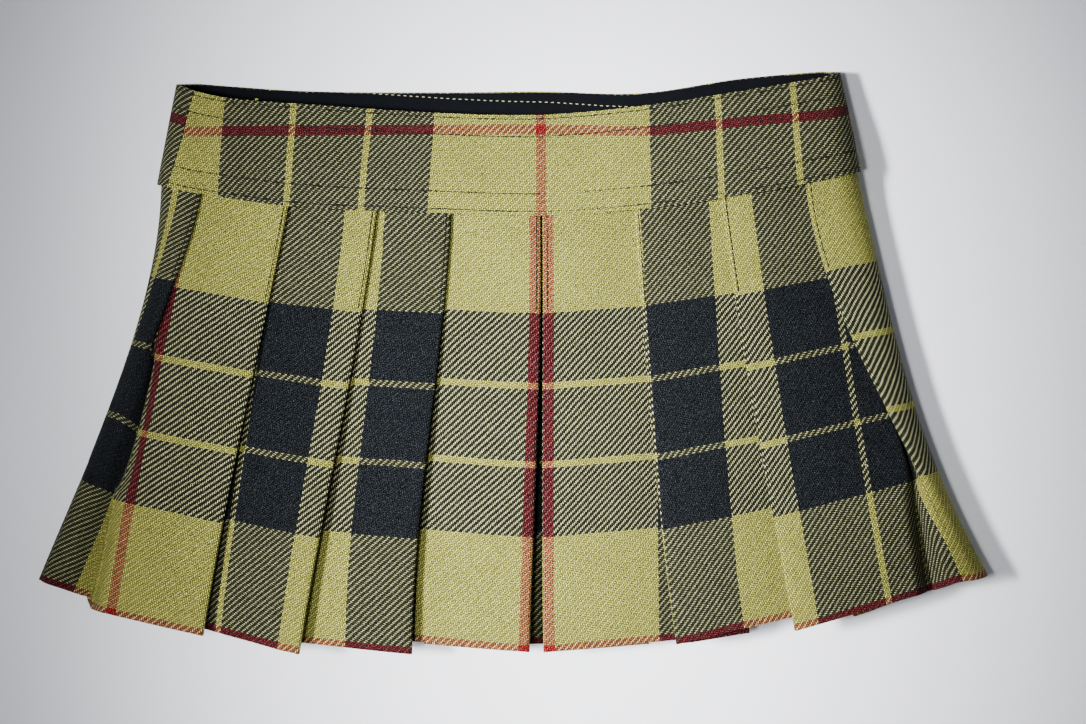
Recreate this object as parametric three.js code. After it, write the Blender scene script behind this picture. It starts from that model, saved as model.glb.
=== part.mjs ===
// A small pleated tartan skirt, laid flat on its back. +X is right and +Y is up towards the waist as it
// lies, and +Z is up off the surface. The origin is under its middle. Sizes are millimetres.
//
// The skirt is a tube of cloth, flattened: a back, a hollow and a front, joined round both sides. The
// pleated cloth is worked out as one wall. Each row of it runs round half of the tube, from centre back
// past a side to centre front, in two coordinates: t, the way round, which is 0 where the flat front
// begins beside the rounded side and grows towards centre front, and n, how far out from the hollow.
import * as THREE from 'three';

const { lerp, clamp, degToRad, smoothstep } = THREE.MathUtils;

// ---- Cloth and pleats ----------------------------------------------------------------------------
const CLOTH = 1.0; // thickness of the wall
const GAP = 0.3; // air between two layers or two pieces
const PITCH = CLOTH + GAP; // one pressed layer to the next
const HEM_PITCH = 1.8; // the same at the hem, where the pleats hang looser
const LENGTH = 157; // waist seam to hem
const STITCHED = 34; // the pleat edges are sewn down this far below the seam
const TUCK = 3; // the pleat tops run this far up inside the waistband
const INTAKE = 96.7; // cloth that one pleat uses, along the weft
const FULLEST = 0.97; // a pleat goes back under at most this share of the way to its neighbour
const CENTRE_DEPTH = 38.5; // how far the two centre front pleats go back under
const CENTRE_FRONT = 10.75; // x where they meet: the front lies a little to the right
const CENTRE_BACK = -13; // x of centre back, for the same reason
const RECESS_RISE = 2.7; // the cloth behind the centre front pleats ends this much higher
const TURNS_OVER = 25; // a pleat that gapes has turned right over this far below where it starts to
const BESIDE_OPEN = 5; // the next panel comes up within this of the crease behind an open pleat
const MIDDLE = { x: 0.44, y: -0.28 }; // the middle of the whole in the tables' frame, moved to the origin

// ---- Heights -------------------------------------------------------------------------------------
const BAND = 1.2; // thickness of the waistband
const LIFT = BAND + GAP; // the back pleats are lifted by the band under them
const LIFT_ENDS = 12; // and lie on the surface again this far below the seam
const STACK = 4 * PITCH; // a row of pressed pleats, middle of the inner layer to middle of the outer
const HOLLOW = { seam: 6.2, hem: 7.6 }; // clear height between back and front
const VALLEY = 3; // an open pleat sinks this far into the hollow at the hem
const OPEN_RISE = 0.7; // share of its height that the next panel has reached by then
const UNDER_EDGE = 0.6; // at the hem, how close a panel lies up under its neighbour's edge

// ---- Where the folds run -------------------------------------------------------------------------
const table = (columns, rows) => rows.map((row) => Object.fromEntries(columns.map((c, i) => [c, row[i]])));

// A row for each pressed fold, in order from centre back to centre front. seamX, seamY and hemX, hemY are
// its ends at the waist seam and the hem; bow1 and bow2 move it sideways at one and two thirds of its
// length; slantSeam and slantHem are the rise of the weft for each mm nearer centre front; height is
// how far it stands out from the hollow at the hem; opens is how far the pleat gapes there, and from
// how far below the seam.
const FOLD_COLUMNS = [
  'face', 'seamX', 'seamY', 'hemX', 'hemY', 'bow1', 'bow2', 'slantSeam', 'slantHem', 'height', 'opens', 'from',
];
const LEFT_FOLDS = table(FOLD_COLUMNS, [
  ['back', -47.5, 60.2, -64.6, -95.5, 0, 0, 0.02, 0.08, STACK, 0, 0],
  ['back', -79.1, 61.0, -107.6, -91.0, 0, 0, 0.03, 0.12, STACK, 0, 0],
  ['back', -110.7, 62.5, -150.0, -84.5, 0, 0, 0.06, 0.15, STACK, 0, 0],
  ['front', -112.9, 60.0, -172.8, -79.5, 4.0, 1.0, -0.2, -0.3, 4.5, 17, 60],
  ['front', -81.1, 55.6, -111.8, -99.8, -0.6, -1.0, -0.15, -0.23, 9.0, 0, 0],
  ['front', -49.1, 53.1, -76.9, -106.4, 0.9, 0.1, -0.07, -0.26, 11.0, 0, 0],
  ['front', -22.2, 52.7, -36.2, -106.4, 0.1, -1.4, -0.04, -0.1, 9.0, 0, 0],
  ['front', 10.5, 52.4, 6.4, -105.7, 0.9, 0.5, -0.03, -0.09, 7.5, 0, 0],
]);
const RIGHT_FOLDS = table(FOLD_COLUMNS, [
  ['back', 18.7, 60.2, 25.4, -97.0, 0, 0, 0.02, 0.08, STACK, 0, 0],
  ['back', 50.4, 61.5, 68.5, -94.0, 0, 0, 0.04, 0.12, STACK, 0, 0],
  ['back', 82.0, 63.8, 111.5, -89.5, 0, 0, 0.06, 0.15, STACK, 0, 0],
  ['back', 113.6, 67.0, 152.5, -84.0, 0, 0, 0.08, 0.17, STACK, 0, 0],
  ['front', 106.6, 64.7, 168.0, -79.5, -7.1, -3.4, -0.2, -0.3, 8.5, 13, 115],
  ['front', 75.8, 58.5, 102.4, -98.0, -1.1, -0.9, -0.17, -0.29, 10.0, 0, 0],
  ['front', 44.0, 54.9, 59.5, -102.8, -0.9, -1.2, -0.12, -0.23, 9.0, 0, 0],
  ['front', 11.0, 52.4, 11.4, -105.7, 0, -0.3, -0.07, -0.09, 7.5, 0, 0],
]);

// The two rounded sides, where front turns to back. reachSeam and reachHem are how far out from the
// hollow the outermost layer stands there.
const SIDE_COLUMNS = [
  'sign', 'seamX', 'seamY', 'hemX', 'hemY', 'bow1', 'bow2', 'reachSeam', 'reachHem', 'folds',
];
const [LEFT, RIGHT] = table(SIDE_COLUMNS, [
  [-1, -127.9, 63.3, -173.0, -79.5, 6.8, 4.8, 5.2, 5.0, LEFT_FOLDS],
  [1, 125.6, 68.4, 173.0, -79.2, -4.5, -5.8, 5.2, 7.5, RIGHT_FOLDS],
]);

// Rows of the wall, from the pleat tops inside the band to the hem.
const ROWS = [-TUCK, 1, LIFT_ENDS, 23, STITCHED, 58, 84, 112, 136, LENGTH];

// Points along one pleat, as shares of the stretch that its neighbour covers, of the stretch that
// shows, and of the way back under.
const HIDDEN = [0.25, 0.6, 1];
const SHOWN = [0.12, 0.25, 0.5, 0.75, 1];
const UNDER = [0.6, 0.25];
const SEAM_PLEAT = 3; // the side seam is under this pleat, counted from 0 at centre back
const BEND_STEPS = 3; // flats round one pressed fold
const ROUND_STEPS = 10; // steps along each of the layers that go round a side
const evenly = (from, to, steps = ROUND_STEPS) => (
  Array.from({ length: steps }, (_, i) => lerp(from, to, (i + 1) / steps))
);

const ROUNDNESS = 1.6;
const RAMP = 0.25;
const frontRise = (share) => 1 - (1 - share) ** ROUNDNESS; // up quickly beside the neighbour's edge, then flat
const backRise = (share) => Math.min(1, share / RAMP); // a short ramp, then flat on the surface

// How far a thing that starts at v = start has come by v, from 0 to 1 at the hem, slowly first if late is
// over 1.
const comeTo = (v, start, late = 1) => clamp((v - start) / (LENGTH - start), 0, 1) ** late;
const LOOSENS_LATE = 1.3; // the pleats come open from where their sewing ends
const OPENS_LATE = 0.8;

// Where a fold or a side lies at v below the seam. The cubic is bow1 and bow2 at one and two thirds.
function along(line, v) {
  const f = v / LENGTH;
  const bow = (27 / 2) * f * (1 - f) * (line.bow1 * (2 / 3 - f) + line.bow2 * (f - 1 / 3));
  return { x: lerp(line.seamX, line.hemX, f) + bow, y: lerp(line.seamY, line.hemY, f) };
}

// The flattened tube at v below the seam: the heights of its two inner layers and its rounded side.
function tubeAt(side, v) {
  const open = comeTo(v, STITCHED, LOOSENS_LATE);
  const lift = LIFT * (1 - smoothstep(v, 1, LIFT_ENDS));
  const backZ = CLOTH / 2 + STACK + lift;
  const frontZ = backZ + CLOTH + lerp(HOLLOW.seam, HOLLOW.hem, open);
  const radius = (frontZ - backZ) / 2;
  const reach = lerp(side.reachSeam, side.reachHem, open) + CLOTH / 2;
  return {
    v, open, backZ, frontZ, radius,
    pitch: lerp(PITCH, HEM_PITCH, open),
    bend: radius + STACK / 2, // radius at which t is measured round the side
    turnX: along(side, v).x - side.sign * (radius + reach), // where flat front meets rounded side
    sign: side.sign,
  };
}

// The point at t round the tube and n out from its hollow.
function place(tube, t, n) {
  const side = -t / tube.bend; // angle round the side, 0 on the front and pi on the back
  if (side <= 0) return { x: tube.turnX - tube.sign * t, z: tube.frontZ + n };
  const turned = Math.min(side, Math.PI);
  const out = tube.radius + Math.min(n, STACK + n * (1 - turned / Math.PI));
  const x = tube.turnX + tube.sign * out * Math.sin(turned);
  const z = (tube.frontZ + tube.backZ) / 2 + out * Math.cos(turned);
  return { x: x - tube.sign * Math.max(0, side - Math.PI) * tube.bend, z };
}

// The t of a point at x that stands n out from the hollow, on the front or on the back.
function wayRound(tube, x, face, n) {
  const inward = -tube.sign * (x - tube.turnX); // from the rounded side towards the middle
  if (face === 'back') return -Math.PI * tube.bend - inward;
  if (inward >= 0) return inward;
  return -Math.asin(clamp(-inward / (tube.radius + n), 0, 1)) * tube.bend;
}

// Where each fold of a half stands at v, and how far its pleat goes back under it.
function foldsAt(side, tube) {
  const { v, open, pitch } = tube;
  const folds = side.folds.map((fold) => {
    const at = along(fold, v);
    const flat = fold.face === 'back';
    const layer = flat ? PITCH : pitch;
    const height = lerp(STACK, fold.height, open);
    const t = wayRound(tube, at.x, fold.face, height);
    return { ...fold, ...at, t, height, layer, flat, slant: lerp(fold.slantSeam, fold.slantHem, v / LENGTH) };
  });
  folds.forEach((fold, k) => {
    const spacing = k ? fold.t - folds[k - 1].t : fold.t - wayRound(tube, CENTRE_BACK, 'back', 0);
    fold.depth = Math.min((INTAKE - spacing) / 2, FULLEST * spacing);
    fold.floor = 0;
    fold.agape = 0;
    if (k === folds.length - 1) {
      fold.depth = CENTRE_DEPTH;
      fold.floor = -fold.layer;
    }
    if (fold.opens && v > STITCHED) {
      const before = clamp((v - STITCHED) / (fold.from - STITCHED), 0, 1);
      fold.depth = lerp(fold.depth, 0, before) - fold.opens * comeTo(v, fold.from, OPENS_LATE);
      fold.agape = (before + clamp((v - fold.from) / TURNS_OVER, 0, 1)) / 2;
      fold.floor = -VALLEY * comeTo(v, fold.from);
    }
  });
  // The height of the weft at t in each panel: straight along it, and turned where the cloth goes round the
  // side, so that all its layers turn alike.
  const sideT = (-Math.PI / 2) * tube.bend;
  const first = folds.findIndex((fold) => fold.face === 'front');
  const straight = (fold, t) => fold.y + fold.slant * (t - fold.t);
  const behind = folds[first - 1];
  const turned = (behind.y - straight(folds[first], sideT)) / (behind.t - sideT);
  for (const fold of folds) {
    fold.weft = (t) => (fold.flat || t > sideT ? straight(fold, t) : straight(fold, sideT) + turned * (t - sideT));
  }
  return folds;
}

// A pressed fold seen end on: a half round that turns to a ridge, or a trough, as the pleat gapes.
const RIDGE = 50; // degrees that the open fold still turns through
const TROUGH = 100;
function bend(edgeT, n, layer, agape, outer) {
  const sweep = degToRad(lerp(180, outer ? RIDGE : TROUGH, agape));
  const radius = (Math.PI * layer) / 2 / sweep;
  const facing = degToRad(outer ? lerp(0, 90, agape) : lerp(180, 270, agape));
  const inset = (layer + CLOTH) / 2;
  const t = lerp(outer ? edgeT - inset : edgeT + inset, edgeT, agape);
  const middle = outer ? n - lerp(layer / 2, radius, agape) : n + lerp(layer / 2, radius, agape);
  const points = [];
  for (let i = 0; i <= BEND_STEPS; i += 1) {
    const turn = facing + (outer ? 1 : -1) * sweep * (0.5 - i / BEND_STEPS);
    points.push({ t: t + radius * Math.cos(turn), n: middle + radius * Math.sin(turn) });
  }
  return points;
}

// One row of a half of the skirt, from centre back to centre front. cut is the number of points before
// the side seam, which is hidden half way back under the fourth pleat: the two pieces stop a gap apart.
function halfRow(side, v) {
  const tube = tubeAt(side, v);
  const folds = foldsAt(side, tube);
  const recessY = folds.at(-1).y + (RECESS_RISE * v) / LENGTH;
  const points = [];
  let cut = 0;
  let start = { t: wayRound(tube, CENTRE_BACK, 'back', 0), n: STACK };
  points.push(start);

  folds.forEach((fold, k) => {
    const before = folds[k - 1];
    const wraps = fold.face === 'front' && before.face === 'back';
    const outer = bend(fold.t, fold.height, fold.layer, fold.agape, true);

    // The panel: under its neighbour, up beside the neighbour's edge, and on to its own edge.
    if (k) {
      const apart = before.agape > 0.5 || before.t < start.t + 2 * CLOTH;
      const emerges = apart ? start.t + BESIDE_OPEN : before.t;
      const free = fold.flat || wraps ? 1 : lerp(1, UNDER_EDGE, tube.open);
      const middle = before.agape > 0.5 ? OPEN_RISE * fold.height : free * (before.height - 2 * before.layer);
      const rise = fold.flat ? backRise : frontRise;
      for (const share of start.round ? evenly(0, 1) : HIDDEN) {
        const hiddenRise = before.flat ? backRise : frontRise;
        points.push({ t: lerp(start.t, emerges, share), n: lerp(start.n, middle, hiddenRise(share)) });
      }
      for (const share of (wraps ? evenly(0, 1) : SHOWN).slice(0, -1)) {
        const n = wraps
          ? lerp(lerp(middle, STACK, backRise(share)), fold.height, share)
          : lerp(middle, fold.height, rise(share));
        points.push({ t: lerp(emerges, outer[0].t, share), n });
      }
    } else {
      for (const share of SHOWN.slice(0, -1)) points.push({ t: lerp(start.t, outer[0].t, share), n: STACK });
    }
    points.push(...outer);
    for (const point of points) point.y ??= fold.weft(point.t);

    // Back under, to the inner crease that the next panel starts from.
    const nextWeft = folds[k + 1]?.weft ?? (() => recessY);
    const creaseT = fold.t - fold.depth;
    const inner = bend(creaseT, fold.floor, fold.layer, fold.agape, false);
    const from = outer[BEND_STEPS];
    const rise = fold.flat ? backRise : frontRise;
    let under = wraps ? evenly(1, 0).slice(0, -1) : UNDER;
    if (k === SEAM_PLEAT) {
      const away = GAP / 2 / Math.hypot(inner[0].t - from.t, inner[0].n - from.n);
      const steps = wraps ? ROUND_STEPS / 2 : 2;
      under = [...evenly(1, 0.5 + away, steps), 0.5 - away, ...evenly(0.5 - away, 0, steps).slice(0, -1)];
      cut = points.length + steps;
    }
    for (const share of under) {
      points.push({
        t: lerp(inner[0].t, from.t, share),
        n: lerp(inner[0].n, from.n, rise(share)),
        y: lerp(nextWeft(creaseT), fold.weft(fold.t), share),
      });
    }
    for (const point of inner) points.push({ ...point, y: nextWeft(point.t) });
    start = { ...inner[BEND_STEPS], round: wraps };
  });

  const middle = wayRound(tube, CENTRE_FRONT, 'front', 0);
  for (const share of [0.5, 1]) points.push({ t: lerp(start.t, middle, share), n: start.n, y: recessY });
  return { points: points.map(({ t, n, y }) => ({ ...place(tube, t, n), y })), cut };
}

// ---- Walls ---------------------------------------------------------------------------------------
// A closed wall on a grid of points: rows[i][j] is its middle, and each row lies in an upright section,
// in which the thickness is laid off to both sides. No point is below the surface it lies on. ring joins
// the last column to the first.
function wall(rows, thickness, ring = false) {
  const across = rows[0].length;
  const faces = [1, -1].map((way) => rows.map((row) => row.map((point, j) => {
    const before = row[ring ? (j + across - 1) % across : Math.max(j - 1, 0)];
    const after = row[ring ? (j + 1) % across : Math.min(j + 1, across - 1)];
    const a = new THREE.Vector2(point.x - before.x, point.z - before.z).normalize();
    const b = new THREE.Vector2(after.x - point.x, after.z - point.z).normalize();
    const run = a.add(b).normalize();
    const half = (way * thickness) / 2;
    return new THREE.Vector3(point.x - run.y * half, point.y, Math.max(0, point.z + run.x * half));
  })));
  const positions = faces.flat(2).flatMap((p) => [p.x, p.y, p.z]);
  const count = rows.length * across;
  const at = (face, i, j) => face * count + i * across + (j % across);
  const index = [];
  const quad = (a, b, c, d) => index.push(a, b, c, a, c, d);
  const steps = ring ? across : across - 1;
  const last = rows.length - 1;
  for (let j = 0; j < steps; j += 1) {
    for (let i = 0; i < last; i += 1) {
      quad(at(0, i, j), at(0, i + 1, j), at(0, i + 1, j + 1), at(0, i, j + 1));
      quad(at(1, i, j), at(1, i, j + 1), at(1, i + 1, j + 1), at(1, i + 1, j));
    }
    quad(at(0, 0, j), at(0, 0, j + 1), at(1, 0, j + 1), at(1, 0, j));
    quad(at(0, last, j), at(1, last, j), at(1, last, j + 1), at(0, last, j + 1));
  }
  for (let i = 0; i < last && !ring; i += 1) {
    quad(at(0, i, 0), at(1, i, 0), at(1, i + 1, 0), at(0, i + 1, 0));
    quad(at(0, i, steps), at(0, i + 1, steps), at(1, i + 1, steps), at(1, i, steps));
  }
  const geometry = new THREE.BufferGeometry();
  geometry.setAttribute('position', new THREE.Float32BufferAttribute(positions, 3));
  geometry.setIndex(index);
  geometry.computeVertexNormals();
  return geometry;
}

function piece(name, geometry, color, roughness) {
  geometry.translate(-MIDDLE.x, -MIDDLE.y, 0);
  const mesh = new THREE.Mesh(geometry, new THREE.MeshStandardMaterial({ color, roughness, metalness: 0 }));
  mesh.name = name;
  return mesh;
}

// ---- Skirt front and back ------------------------------------------------------------------------
const halves = [LEFT, RIGHT].map((side) => ROWS.map((v) => halfRow(side, v)));

// The side seam parts the two pieces.
const skirtRows = ROWS.map((_, i) => {
  const [left, right] = halves.map((half) => half[i]);
  return {
    front: [...left.points.slice(left.cut), ...right.points.slice(right.cut, -1).reverse()],
    back: [...right.points.slice(0, right.cut).reverse(), ...left.points.slice(1, left.cut)],
  };
});

// ---- Waistband and facing ------------------------------------------------------------------------
// The band is a ring round the top. q runs round it: 0 to 1 across the front from left to right, 1 to 2
// round the right side, 2 to 3 across the back and 3 to 4 round the left side.
const BAND_WIDTH = 36.7; // seam to top edge
const BAND_SIDES = { seam: [-129.4, 127.2], top: [-122.6, 119.8] };
const BAND_TOP = 14; // height of the middle of the front band at its top edge; the back lies on the surface
const BAND_LEVELS = 1.1 * BAND_WIDTH; // where the front band would be level again
const FACING = 1.0;
const FACING_IN = BAND / 2 + GAP + FACING / 2; // the facing's middle is this far inside the band's
const FACING_FOOT = 5; // its lower edge is this far above the seam
const BAND_CURVE = table(['share', 'frontSeam', 'frontTop', 'backTop'], [
  [0, 63.3, 99.8, 102.0],
  [0.08, 60.0, 95.6, 100.4],
  [0.2, 55.8, 93.3, 98.6],
  [0.4, 53.6, 90.1, 98.2],
  [0.55, 52.6, 89.5, 98.5],
  [0.7, 55.4, 92.7, 97.9],
  [0.85, 61.0, 98.2, 103.2],
  [1, 68.3, 104.3, 106.4],
]);
const SEAM_ANGLE = { seam: 39, top: 4 }; // where the left seam of the band stands, degrees round the side
const RIGHT_SEAM = 1.83; // the other one, as q, on the underside

// A smooth curve through one column of a table.
function through(rows, column, share) {
  const k = clamp(rows.findIndex((row) => row.share >= share) - 1, 0, rows.length - 2);
  const [a, b] = [rows[k], rows[k + 1]];
  const gradient = (i) => {
    const [p, q] = [rows[Math.max(i - 1, 0)], rows[Math.min(i + 1, rows.length - 1)]];
    return (q[column] - p[column]) / (q.share - p.share);
  };
  const span = b.share - a.share;
  const f = (share - a.share) / span;
  const bulge = f * (1 - f) * span;
  const line = lerp(a[column], b[column], f);
  const slope = (b[column] - a[column]) / span;
  return line + bulge * ((1 - f) * (gradient(k) - slope) - f * (gradient(k + 1) - slope));
}

// A point of the band at q, w above its lower edge, moved in towards the hollow. radius is that of the
// band's rounded sides there.
function bandPoint(q, w, inset) {
  const up = w / BAND_WIDTH;
  const seam = tubeAt(LEFT, 1);
  const seamTop = seam.frontZ + STACK + CLOTH / 2 + GAP + BAND / 2;
  const top = lerp(seamTop, BAND_TOP, smoothstep(w, TUCK, BAND_LEVELS));
  const radius = (top - BAND / 2) / 2;
  const middle = (top + BAND / 2) / 2;
  const [left, right] = [0, 1].map((i) => lerp(BAND_SIDES.seam[i], BAND_SIDES.top[i], up));
  const inner = [left + BAND / 2 + radius, right - BAND / 2 - radius];
  const y = (x, back) => {
    const share = clamp((x - left) / (right - left), 0, 1);
    const topY = through(BAND_CURVE, back ? 'backTop' : 'frontTop', share);
    return lerp(back ? topY - BAND_WIDTH : through(BAND_CURVE, 'frontSeam', share), topY, up);
  };
  const round = (q + 4) % 4;
  const out = radius - inset;
  if (round <= 1 || (round >= 2 && round <= 3)) {
    const back = round > 1;
    const x = lerp(...inner, back ? 3 - round : round);
    return { x, y: y(x, back), z: middle + (back ? -out : out), radius };
  }
  const onRight = round < 2;
  const turned = onRight ? round - 1 : 4 - round; // half turns from the front towards the back
  const across = out * Math.sin(turned * Math.PI);
  const x = onRight ? inner[1] + across : inner[0] - across;
  return { x, y: lerp(y(x, false), y(x, true), turned), z: middle + out * Math.cos(turned * Math.PI), radius };
}

// The stations of one row of the band: round from the left seam across the front to the right seam, and
// on across the back to the left seam again. The two pieces stop a gap apart.
const BAND_ROWS = [BAND_WIDTH, 30, 24, 18, 12, 7.5, TUCK + GAP, 0];
const FLAT_STEPS = 14;
const SIDE_STEPS = 12;
const evenlyFrom = (from, to, steps) => [from, ...evenly(from, to, steps)];
function bandStations(w) {
  const away = GAP / 2 / (Math.PI * bandPoint(0, w, 0).radius);
  const seam = lerp(SEAM_ANGLE.seam, SEAM_ANGLE.top, w / BAND_WIDTH) / 180;
  return {
    front: [
      ...evenlyFrom(away - seam, 0, 3), ...evenly(0, 1, FLAT_STEPS), ...evenly(1, RIGHT_SEAM - away, SIDE_STEPS),
    ],
    back: [
      ...evenlyFrom(RIGHT_SEAM + away, 2, 2), ...evenly(2, 3, FLAT_STEPS), ...evenly(3, 4 - seam - away, SIDE_STEPS),
    ],
  };
}
const bandWall = (face) => wall(BAND_ROWS.map((w) => bandStations(w)[face].map((q) => bandPoint(q, w, 0))), BAND);

// The facing follows the band, and turns in at its foot to the inner faces of the pleats.
const FACING_ROWS = [...BAND_ROWS.slice(0, -2), FACING_FOOT];
const FOOT_IN = STACK + CLOTH / 2 + GAP + BAND / 2;
const facingRows = FACING_ROWS.map((w) => {
  const stations = [0, 1, 2, 3].flatMap((q) => evenly(q, q + 1, q % 2 ? SIDE_STEPS : FLAT_STEPS));
  return stations.map((q) => bandPoint(q, w, w === FACING_FOOT ? FOOT_IN : FACING_IN));
});

const group = new THREE.Group();
const TARTAN = 0xb3ac72;
const NAVY = 0x1f2426;
group.add(piece('skirt_front', wall(skirtRows.map((row) => row.front), CLOTH), TARTAN, 0.9));
group.add(piece('skirt_back', wall(skirtRows.map((row) => row.back), CLOTH), TARTAN, 0.9));
group.add(piece('waistband_front', bandWall('front'), TARTAN, 0.9));
group.add(piece('waistband_back', bandWall('back'), TARTAN, 0.9));
group.add(piece('waistband_facing', wall(facingRows, FACING, true), NAVY, 0.85));

export default group;
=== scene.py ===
"""A small pleated tartan skirt, laid flat on its back: its looks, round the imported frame.

Sizes are in millimetres and become metres where a mesh is made. +X is right and +Y is up towards the
waist as it lies, and +Z is up off the surface. The cloth is worked out as the solids are: each row of it
runs round half of the flattened tube, from centre back past a side to centre front.
"""

import math

import bpy
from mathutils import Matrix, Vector, noise


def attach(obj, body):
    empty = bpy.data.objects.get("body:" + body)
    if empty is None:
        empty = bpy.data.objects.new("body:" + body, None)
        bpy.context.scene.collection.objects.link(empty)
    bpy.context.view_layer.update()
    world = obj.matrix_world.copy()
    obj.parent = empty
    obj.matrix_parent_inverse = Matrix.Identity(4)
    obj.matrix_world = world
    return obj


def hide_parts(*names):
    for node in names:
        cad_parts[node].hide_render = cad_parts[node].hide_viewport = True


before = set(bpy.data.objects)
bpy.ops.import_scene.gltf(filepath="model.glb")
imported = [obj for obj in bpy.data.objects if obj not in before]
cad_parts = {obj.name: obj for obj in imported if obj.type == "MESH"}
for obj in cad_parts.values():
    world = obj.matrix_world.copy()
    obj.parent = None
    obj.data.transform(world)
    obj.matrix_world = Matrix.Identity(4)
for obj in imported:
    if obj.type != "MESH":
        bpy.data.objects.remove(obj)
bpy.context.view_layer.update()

MM = 0.001
MIDDLE = (0.44, -0.28)  # the middle of the whole in the tables' frame, moved to the origin

# ---- Cloth and pleats ---------------------------------------------------------------------------------
CLOTH = 1.0  # thickness of the wall
GAP = 0.3  # air between two layers or two pieces
PITCH = CLOTH + GAP  # one pressed layer to the next
HEM_PITCH = 1.8  # the same at the hem, where the pleats hang looser
LENGTH = 157.0  # waist seam to hem
STITCHED = 34.0  # the pleat edges are sewn down this far below the seam
TUCK = 3.0  # the pleat tops run this far up inside the waistband
INTAKE = 96.7  # cloth that one pleat uses
# A pleat goes back under at most this share of the way to its neighbour.
FULLEST = {"seam": 0.97, "hem": 0.8}
CENTRE_DEPTH = 38.5  # how far the two centre front pleats go back under
CENTRE_FRONT = 10.75
CENTRE_BACK = -13.0
RECESS_RISE = 2.7  # the cloth behind the centre front pleats ends this much higher
BAND = 1.2  # thickness of the waistband
LIFT = BAND + GAP  # the back pleats are lifted by the band under them
LIFT_ENDS = 12.0  # and lie on the surface again this far below the seam
STACK = 4 * PITCH
HOLLOW = {"seam": 6.2, "hem": 7.6}  # clear height between back and front
VALLEY = 3.0  # an open pleat sinks this far into the hollow at the hem
OPEN_STEP = 4.2  # at the hem, how much higher the gaping pleat ends than the panel beside it
DIPS_OVER = 45.0  # below the sewing, over this length the panels sink beside their neighbours' edges
DIPS_EARLY = 0.8  # under 1, they sink fastest where the sewing ends
UNDER_EDGE = 1.3  # there, how far out from the hollow a panel lies under its neighbour's edge
LOOSENS_LATE = 1.3  # over 1, the pleats come open slowly where their sewing ends
OPENS_EARLY = 0.8  # under 1, an open pleat gapes fastest where it starts to
TURNS_OVER = 25.0  # a pleat that gapes has turned right over this far below where it starts to
APART = (0.3, 0.6)  # between these shares of its turn an open pleat comes away from the next panel
BESIDE_OPEN = 5.0  # the next panel comes up within this of the crease behind an open pleat
OPEN_RISE = 0.7  # and there it stands at this share of its height
ROUNDNESS = 2  # over 1, a front panel comes up quickly beside its neighbour's edge and then lies flat
RAMP = 0.25  # share of a back panel that slopes down to the surface
RIDGE, TROUGH = 50, 100  # degrees that the fold and the crease of a gaping pleat still turn through
BOW = 13.5  # makes bow1 and bow2 the sideways moves at one and two thirds of the length


def lerp(a, b, share):
    return a + (b - a) * share


def clamp(x, low=0.0, high=1.0):
    return max(low, min(high, x))


def ease(x, low, high):
    """0 below low, 1 above high and smooth between."""
    f = clamp((x - low) / (high - low))
    return f * f * (3 - 2 * f)


def table(columns, rows):
    return [dict(zip(columns, row)) for row in rows]


# A row for each pressed fold, in order from centre back to centre front, as the solids have them, but that
# the open pleat at the left gapes 3.5 mm wider. The last columns say where the fold falls in the check at
# the seam and at the hem, in mm along the weft and growing to centre front, and how much of the check the
# slope of its panel draws in at the hem.
FOLD_COLUMNS = ["face", "seam_x", "seam_y", "hem_x", "hem_y", "bow1", "bow2", "slant_seam", "slant_hem",
                "height", "opens", "from", "check_seam", "check_hem", "draw"]
LEFT_FOLDS = table(FOLD_COLUMNS, [
    ["back", -47.5, 60.2, -64.6, -95.5, 0, 0, 0.02, 0.08, STACK, 0, 0, -347.6, -347.6, 1],
    ["back", -79.1, 61.0, -107.6, -91.0, 0, 0, 0.03, 0.12, STACK, 0, 0, -250.9, -250.9, 1],
    ["back", -110.7, 62.5, -150.0, -84.5, 0, 0, 0.06, 0.15, STACK, 0, 0, -154.2, -154.2, 1],
    ["front", -112.9, 60.0, -172.8, -79.5, 4.0, 1.0, -0.2, -0.3, 4.5, 20.5, 60, -57.5, -57.5, 1],
    ["front", -81.1, 55.6, -111.8, -99.8, -0.6, -1.0, -0.15, -0.23, 9.0, 0, 0, 36.0, 34.4, 1],
    ["front", -49.1, 53.1, -76.9, -106.4, 0.9, 0.1, -0.07, -0.26, 11.0, 0, 0, 132.0, 129.8, 1.12],
    ["front", -22.2, 52.7, -36.2, -106.4, 0.1, -1.4, -0.04, -0.1, 9.0, 0, 0, 225.0, 225.5, 1],
    ["front", 10.5, 52.4, 6.4, -105.7, 0.9, 0.5, -0.03, -0.09, 7.5, 0, 0, 323.8, 323.8, 1],
])
RIGHT_FOLDS = table(FOLD_COLUMNS, [
    ["back", 18.7, 60.2, 25.4, -97.0, 0, 0, 0.02, 0.08, STACK, 0, 0, -1155.5, -1155.5, 1],
    ["back", 50.4, 61.5, 68.5, -94.0, 0, 0, 0.04, 0.12, STACK, 0, 0, -1058.8, -1058.8, 1],
    ["back", 82.0, 63.8, 111.5, -89.5, 0, 0, 0.06, 0.15, STACK, 0, 0, -962.1, -962.1, 1],
    ["back", 113.6, 67.0, 152.5, -84.0, 0, 0, 0.08, 0.17, STACK, 0, 0, -865.4, -865.4, 1],
    ["front", 106.6, 64.7, 168.0, -79.5, -7.1, -3.4, -0.2, -0.3, 8.5, 13, 115, -768.7, -768.7, 1],
    ["front", 75.8, 58.5, 102.4, -98.0, -1.1, -0.9, -0.17, -0.29, 10.0, 0, 0, -672.3, -674.2, 1],
    ["front", 44.0, 54.9, 59.5, -102.8, -0.9, -1.2, -0.12, -0.23, 9.0, 0, 0, -575.5, -577.7, 1],
    ["front", 11.0, 52.4, 11.4, -105.7, 0, -0.3, -0.07, -0.09, 7.5, 0, 0, -480.4, -480.0, 1],
])
CENTRE_CHECK = 401.9  # where centre front falls in the check

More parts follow.
